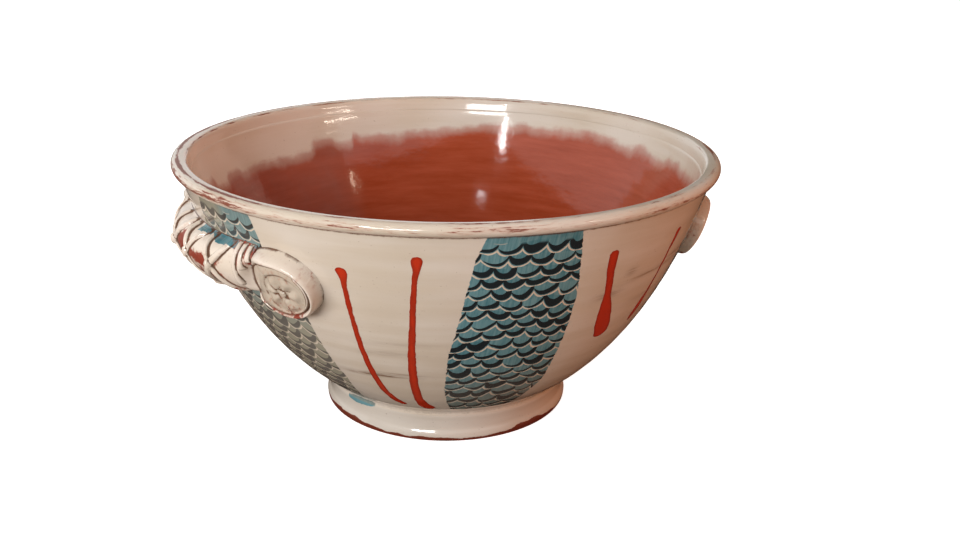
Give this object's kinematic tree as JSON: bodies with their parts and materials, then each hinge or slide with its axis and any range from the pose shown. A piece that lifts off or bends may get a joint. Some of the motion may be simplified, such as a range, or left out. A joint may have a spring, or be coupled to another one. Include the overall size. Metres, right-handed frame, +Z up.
{
  "type": "salad bowl",
  "caption": "Large hand-thrown slipware salad bowl with a turned foot ring, a rolled rim and solid lug handles of wrapped clay that end in scrolls",
  "frame": {"origin": "centre of the foot's tread, on the surface that the bowl stands on", "axes": "+Z up through the mouth, +X from the left handle to the right handle, -Y towards the front"},
  "size_m": [0.3308, 0.32, 0.158],
  "materials": {
    "body_glaze": "glossy clear glaze over cream slip outside, over red clay inside",
    "foot_glaze": "glossy clear glaze over cream slip, bare red clay at the tread",
    "rim_glaze": "glossy clear glaze over cream slip worn through to red clay",
    "handle_glaze": "glossy clear glaze over cream slip, red clay showing below",
    "ribbon_glaze": "glossy clear glaze over cream slip",
    "binding_glaze": "glossy clear glaze over cream slip, brown where it pools",
    "scroll_glaze": "glossy clear glaze over cream slip",
    "pad_glaze": "glossy clear glaze over cream slip, worn on the stamped relief"
  },
  "bodies": {
    "root": {"bowl_body": "body_glaze", "foot_ring": "foot_glaze", "rim_roll": "rim_glaze", "left_handle_roll": "handle_glaze", "left_under_ribbon_1": "ribbon_glaze", "left_under_ribbon_2": "ribbon_glaze", "left_under_ribbon_3": "ribbon_glaze", "left_over_ribbon_1": "ribbon_glaze", "left_over_ribbon_2": "ribbon_glaze", "left_over_ribbon_3": "ribbon_glaze", "left_over_ribbon_4": "ribbon_glaze", "left_front_binding_1": "binding_glaze", "left_front_binding_2": "binding_glaze", "left_front_binding_3": "binding_glaze", "left_front_scroll": "scroll_glaze", "left_front_pad": "pad_glaze", "left_back_binding_1": "binding_glaze", "left_back_binding_2": "binding_glaze", "left_back_binding_3": "binding_glaze", "left_back_scroll": "scroll_glaze", "left_back_pad": "pad_glaze", "right_handle_roll": "handle_glaze", "right_under_ribbon_1": "ribbon_glaze", "right_under_ribbon_2": "ribbon_glaze", "right_under_ribbon_3": "ribbon_glaze", "right_over_ribbon_1": "ribbon_glaze", "right_over_ribbon_2": "ribbon_glaze", "right_over_ribbon_3": "ribbon_glaze", "right_over_ribbon_4": "ribbon_glaze", "right_front_binding_1": "binding_glaze", "right_front_binding_2": "binding_glaze", "right_front_binding_3": "binding_glaze", "right_front_scroll": "scroll_glaze", "right_front_pad": "pad_glaze", "right_back_binding_1": "binding_glaze", "right_back_binding_2": "binding_glaze", "right_back_binding_3": "binding_glaze", "right_back_scroll": "scroll_glaze", "right_back_pad": "pad_glaze"}
  },
  "joints": []
}
